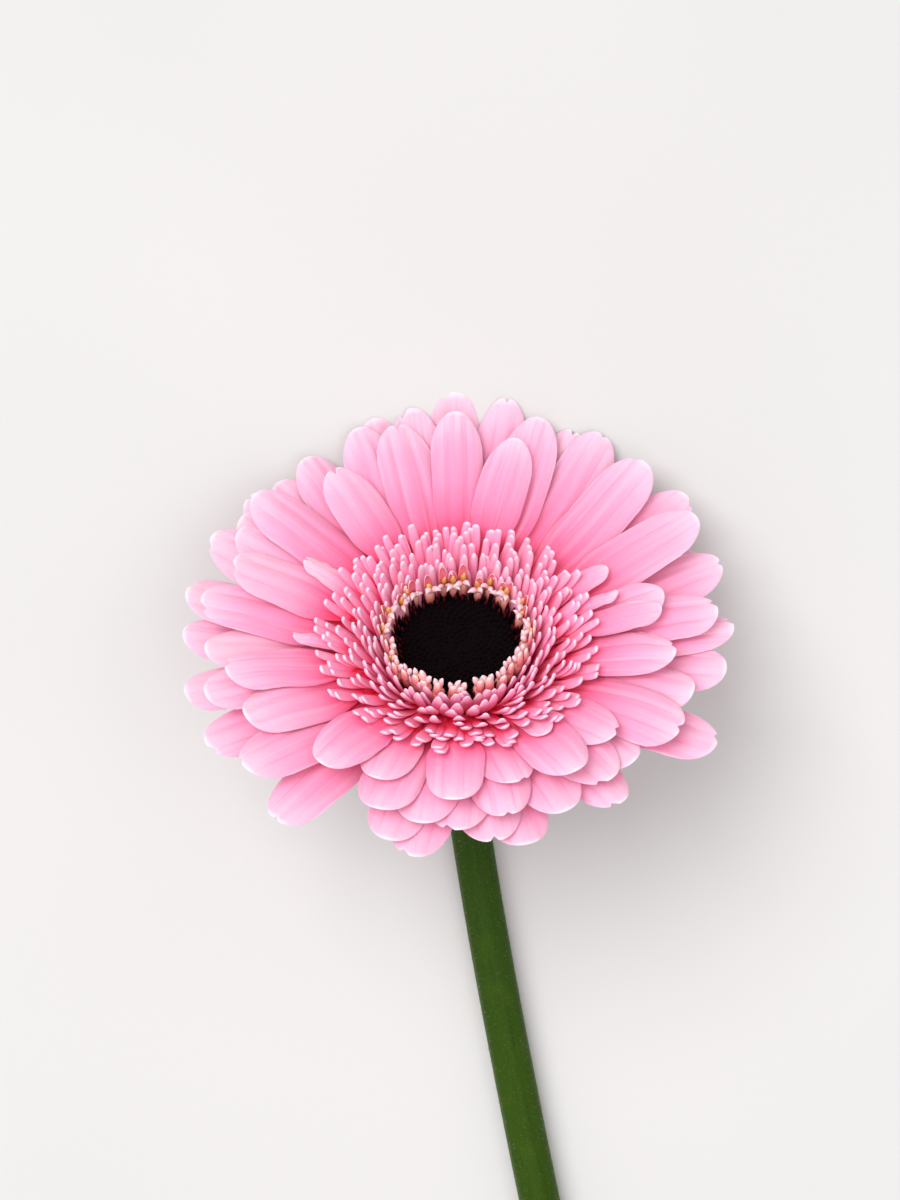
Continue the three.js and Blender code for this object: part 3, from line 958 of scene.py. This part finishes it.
def make_buds():
    skin, rim = Skin(), Skin()
    noise = random.Random("buds")
    golden = math.pi * (3 - math.sqrt(5))
    for number in range(BUDS):
        share = math.sqrt((number + 0.5) / BUDS)
        height = 1.0 + 0.9 * share**2 + noise.uniform(-0.2, 0.25)
        ground = -0.9 + 0.8 * share**2
        bud(skin, number * golden, BUD_CIRCLE * share, ground, height, 0.3 * share, 0.44, noise)
    # The buds next to the open florets stand taller, because they open next.
    for ring_radius, ring_count, ring_height in TALL_BUD_RINGS:
        for number in range(ring_count):
            azimuth = 2 * math.pi * number / ring_count + noise.uniform(-0.06, 0.06)
            height = ring_height + noise.uniform(-0.5, 0.5)
            bud(rim, azimuth, ring_radius, -0.8, height, 0.35, 0.5, noise)
    skin.build("dark_centre_buds", bud_material("dark_bud", (26, 3, 10)), "disc_buds")
    rim.build("dark_rim_buds", bud_material("dark_rim_bud", (96, 16, 30)), "disc_buds")
    coat("disc_floret_buds", bud_cushion_material())


# ---- Bracts of the involucre ----
def bowl_point(distance, turn):
    """Point of the bowl around the receptacle; turn 0 is its foot and 90 its rim."""
    points = to_head(solid_points("receptacle"))
    radii = np.hypot(points[:, 0], points[:, 1])
    low = points[:, 2].min()
    foot = radii[points[:, 2] < low + 0.1].max()
    across = radii.max() - foot + distance
    deep = -SEAT_DEPTH - low + distance
    angle = np.radians(turn)
    return foot + across * np.sin(angle), -SEAT_DEPTH - deep * np.cos(angle)


# Rows of bracts: count, distance from the bowl, first and last turn, reach of the tip, width.
BRACT_ROWS = (
    (22, 0.5, 24, 88, 7.8, 4.4),
    (19, 1.1, 16, 83, 5.2, 4.4),
    (16, 1.7, 8, 72, 2.8, 4.2),
    (13, 2.3, 4, 54, 1.6, 3.8),
)


def bract(skin, azimuth, row, noise):
    """One bract against the bowl, with its tip standing away; returns its middle surface."""
    distance, first, last, reach, width = row[1:]
    across = np.array([-1, -0.85, -0.6, -0.3, 0, 0.3, 0.6, 0.85, 1])
    share = np.linspace(0, 1, 22)
    bend = 0.72
    turn = first + (last - first) * np.clip(share / bend, 0, 1)
    radius, height = bowl_point(distance, turn)
    beyond = np.clip((share - bend) / (1 - bend), 0, 1)
    slope = 0.12 + 0.6 * (90 - last) / 90
    radius = radius + reach * beyond * math.cos(slope)
    height = height + reach * beyond * math.sin(slope) * noise.uniform(0.6, 1.0)
    half = width / 2 * (0.75 + 0.25 * smooth(0, 0.3, share)) * (1 - share**2.6) ** 0.75 + 0.04
    sag = 0.35 * across**2 * (1 - share[:, None])
    keel = 0.15 * bell(across, 0, 0.2) * (1 - share[:, None])
    wide_radius = radius[:, None] - (sag - keel) * 0.6
    wide_height = height[:, None] + (sag - keel) * 0.3
    angle = azimuth + across * half[:, None] / radius[:, None] + noise.uniform(-0.03, 0.03)
    places = (wide_radius * np.cos(angle), wide_radius * np.sin(angle), wide_height)
    middle = np.stack(places, axis=2)
    half_thickness = 0.25 * rounded(across, 3) * (1 - 0.5 * share[:, None])
    # The outer face of a bract is its underside in the head's frame.
    leaf(skin, middle[:, ::-1], half_thickness, share[:, None], across, noise.random())
    return middle


def make_bracts():
    material = bract_material()
    inner, outer, hairs = Skin(), Skin(), Skin()
    noise = random.Random("bracts")
    for level, row in enumerate(BRACT_ROWS):
        skin = inner if level < 2 else outer
        for number in range(row[0]):
            azimuth = 2 * math.pi * (number + 0.5 * (level % 2)) / row[0]
            middle = bract(skin, azimuth, row, noise)
            add_bract_hairs(hairs, middle, noise)
    inner.build("bracts_inner_rows", material, "bracts", "inner_bracts")
    outer.build("bracts_outer_rows", material, "bracts", "outer_bracts")
    hairs.build("bract_hairs", hair_material(), "bracts")
    coat("receptacle", receptacle_material())


def add_bract_hairs(skin, middle, noise):
    rows, columns = middle.shape[:2]
    for _ in range(HAIRS_PER_BRACT):
        i = noise.randrange(2, rows - 2)
        j = noise.randrange(1, columns - 1)
        root = middle[i, j]
        out = np.array([root[0], root[1], -8.0])
        out = out / np.linalg.norm(out)
        drift = np.array([noise.uniform(-0.5, 0.5) for axis in range(3)])
        add_hair(skin, root + out * 0.1, out + drift, noise.uniform(0.6, 1.4), 0.03)


def add_hair(skin, root, direction, length, radius, placed=to_world):
    direction = direction / np.linalg.norm(direction)
    where = np.linspace(0, 1, 3)
    sag = np.array([0.0, 0.0, -0.15]) * length
    line = root + direction * (length * where)[:, None] + sag * (where**2)[:, None]
    tube(skin, line, [radius, radius * 0.75, radius * 0.15], 3, 0.5, placed)


# ---- Stem ----
def stem_line():
    """Centre points of the stem in world millimetres, read from the solid."""
    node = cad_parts["stem"].data
    points = np.array([vertex.co[:] for vertex in node.vertices]) / MM
    edges = np.array([edge.vertices[:] for edge in node.edges])
    first, last = points[edges[:, 0]], points[edges[:, 1]]
    low, high = points[:, 1].min(), points[:, 1].max()
    neck_height = to_head(solid_points("receptacle"))[:, 2].min() - 0.3
    neck = to_world(np.array([[0, 0, neck_height]]))[0] / MM
    centres = [neck]
    for place in np.linspace(low + 9, high - 5, STEM_CUTS):
        crossing = (first[:, 1] - place) * (last[:, 1] - place) < 0
        share = (place - first[crossing, 1]) / (last[crossing, 1] - first[crossing, 1])
        cut = first[crossing] + (last[crossing] - first[crossing]) * share[:, None]
        centres.append([
            (cut[:, 0].min() + cut[:, 0].max()) / 2,
            place,
            (cut[:, 2].min() + cut[:, 2].max()) / 2,
        ])
    centres = np.array(centres)
    run = (centres[-1] - centres[-2]) / np.linalg.norm(centres[-1] - centres[-2])
    return np.vstack([centres, centres[-1] + run * (high - 1.2 - centres[-1][1]) / run[1]])


def resampled(line, count):
    """The line at even steps and softened, and its length."""
    length = np.concatenate([[0], np.cumsum(np.linalg.norm(np.diff(line, axis=0), axis=1))])
    where = np.linspace(0, length[-1], count)
    even = np.stack([np.interp(where, length, line[:, k]) for k in range(3)], axis=1)
    kernel = np.array([1, 2, 3, 4, 3, 2, 1]) / 16
    soft = np.stack(
        [np.convolve(np.pad(even[:, k], 3, mode="reflect", reflect_type="odd"), kernel, "valid")
         for k in range(3)],
        axis=1,
    )
    return soft, length[-1]


def make_stem():
    line, length = resampled(stem_line(), STEM_RINGS)
    solid = solid_points("stem") / MM
    end_radius = (solid[solid[:, 1] > solid[:, 1].max() - 12][:, 2].max()) / 2
    share = np.linspace(0, 1, len(line))
    radius = NECK_RADIUS + (end_radius - NECK_RADIUS) * share
    radius = radius + NECK_FLARE * np.exp(-share * length / 4.0)
    ahead = directions(line)
    side, over = cross_axes(ahead, [0, 0, 1.0])
    turns = full_turn(STEM_SIDES)
    ribs = 0.025 * np.cos(11 * turns) + 0.02 * np.cos(7 * turns + 1.3)
    drift = 0.05 * np.sin(share * 21)[:, None] * np.cos(turns - 0.6)[None]
    reach = radius[:, None] + (ribs[None] + drift) * smooth(0, 0.03, share)[:, None]
    rings = ring_points(line, side, over, reach)
    slant = math.tan(math.radians(CUT_SLANT)) * np.sin(turns) * radius[-1]
    for back, part in enumerate(CUT_SHARES, start=1):
        rings[-back] -= ahead[-1] * slant[:, None] * part
    sunk = np.clip(0.02 - rings[..., 2].min(axis=1), 0, None)
    rings[..., 2] += sunk[:, None]
    skin = Skin()
    skin.add(
        rings.reshape(-1, 3) * MM,
        ring_faces(len(line), STEM_SIDES),
        along=np.repeat(share, STEM_SIDES),
        across=np.tile(np.abs(turns / math.pi - 1), len(line)),
    )
    skin.build("stem_skin", stem_material(), "stem", "stem")
    make_cut_face(rings[-1], ahead[-1])
    make_stem_hairs(line, radius, side, over, ahead)


def make_cut_face(rim, ahead):
    """Pale flesh across the slanted cut, a thin plate with its edge in the stem."""
    middle = rim.mean(axis=0)
    depths = (-0.1, 0.04, 0.1, 0.12, 0.1, 0.07, 0.05, 0.05)
    spans = (0.97, 0.985, 0.96, 0.8, 0.55, 0.3, 0.12, 0.02)
    rings = [middle + (rim - middle) * span + ahead * depth for span, depth in zip(spans, depths)]
    along = np.repeat(1 - np.array(spans), len(rim))
    skin = Skin()
    skin.add(np.concatenate(rings) * MM, ring_faces(len(rings), len(rim)), along=along)
    skin.build("stem_cut_face", cut_face_material(), "stem")


def make_stem_hairs(line, radius, side, over, ahead):
    skin = Skin()
    noise = random.Random("hairs")
    for _ in range(STEM_HAIRS):
        i = min(len(line) - 5, int(len(line) * noise.random() ** 1.15))
        turn = noise.uniform(0, 2 * math.pi)
        out = side[i] * math.cos(turn) + over[i] * math.sin(turn)
        root = line[i] + out * (radius[i] - 0.05) + ahead[i] * noise.uniform(-0.8, 0.8)
        length = noise.uniform(0.25, 0.75)
        direction = out + ahead[i] * noise.uniform(-0.6, 0.6)
        direction = direction + np.cross(out, ahead[i]) * noise.uniform(-0.5, 0.5)
        if (root + direction * length)[2] < 0.4:
            continue
        add_hair(skin, root, direction, length, 0.02, lambda points: np.asarray(points) * MM)
    skin.build("stem_hairs", bpy.data.materials["pale_hair"], "stem")


# ---- Stage, light and camera ----
def make_stage():
    size = FLOOR_HALF_WIDTH
    mesh = bpy.data.meshes.new("floor")
    mesh.from_pydata(
        [(-size, -size, 0), (size, -size, 0), (size, size, 0), (-size, size, 0)],
        [],
        [(0, 1, 2, 3)],
    )
    floor = bpy.data.objects.new("floor", mesh)
    put_in_scene(floor)
    shader = Shader("pale_floor", 0.7)
    grain = shader.noise(shader.place(), 6.0, 2.0)
    shader.colour(shader.ramp(grain, (0.3, (213, 212, 211)), (0.7, (218, 217, 216))))
    mesh.materials.append(shader.material)


def sun(name, place, aim, strength, softness, colour):
    data = bpy.data.lights.new(name, "SUN")
    data.energy = strength
    data.angle = math.radians(softness)
    data.color = colour
    light = bpy.data.objects.new(name, data)
    light.location = place
    light.rotation_euler = (Vector(aim) - Vector(place)).to_track_quat("-Z", "Y").to_euler()
    put_in_scene(light)


def make_light():
    world = bpy.data.worlds.new("studio")
    world.use_nodes = True
    background = world.node_tree.nodes["Background"]
    background.inputs["Color"].default_value = (0.97, 0.97, 0.98, 1)
    background.inputs["Strength"].default_value = WORLD_STRENGTH
    bpy.context.scene.world = world
    middle = tuple(HEAD_CENTRE)
    sun("key", (0.34, -0.5, 0.75), middle, KEY_STRENGTH, KEY_SOFTNESS, (1.0, 0.985, 0.98))
    sun("fill", (-0.15, -0.1, 0.95), middle, FILL_STRENGTH, FILL_SOFTNESS, (1.0, 0.99, 0.99))
    bpy.context.scene.view_settings.view_transform = "Standard"


def make_camera():
    elevation = math.radians(VIEW_ELEVATION)
    towards = HEAD[2] * math.sin(elevation) - HEAD[1] * math.cos(elevation)
    image_right = HEAD[0]
    image_up = np.cross(towards, image_right)
    aim = HEAD_CENTRE + (image_right * AIM[0] + image_up * AIM[1]) * MM
    data = bpy.data.cameras.new("camera")
    data.sensor_width = 36
    data.lens = 36 * VIEW_DISTANCE / FRAME_HEIGHT
    data.clip_start = 0.01
    camera = bpy.data.objects.new("camera", data)
    camera.location = aim + towards * VIEW_DISTANCE * MM
    camera.rotation_mode = "QUATERNION"
    turn = Matrix([image_right, image_up, towards]).transposed()
    camera.rotation_quaternion = turn.to_quaternion()
    put_in_scene(camera)
    bpy.context.scene.camera = camera


make_camera()
make_stage()
make_light()
ray_pile = make_rays()
make_tongues(ray_pile)
make_disc_florets()
make_buds()
make_bracts()
make_stem()
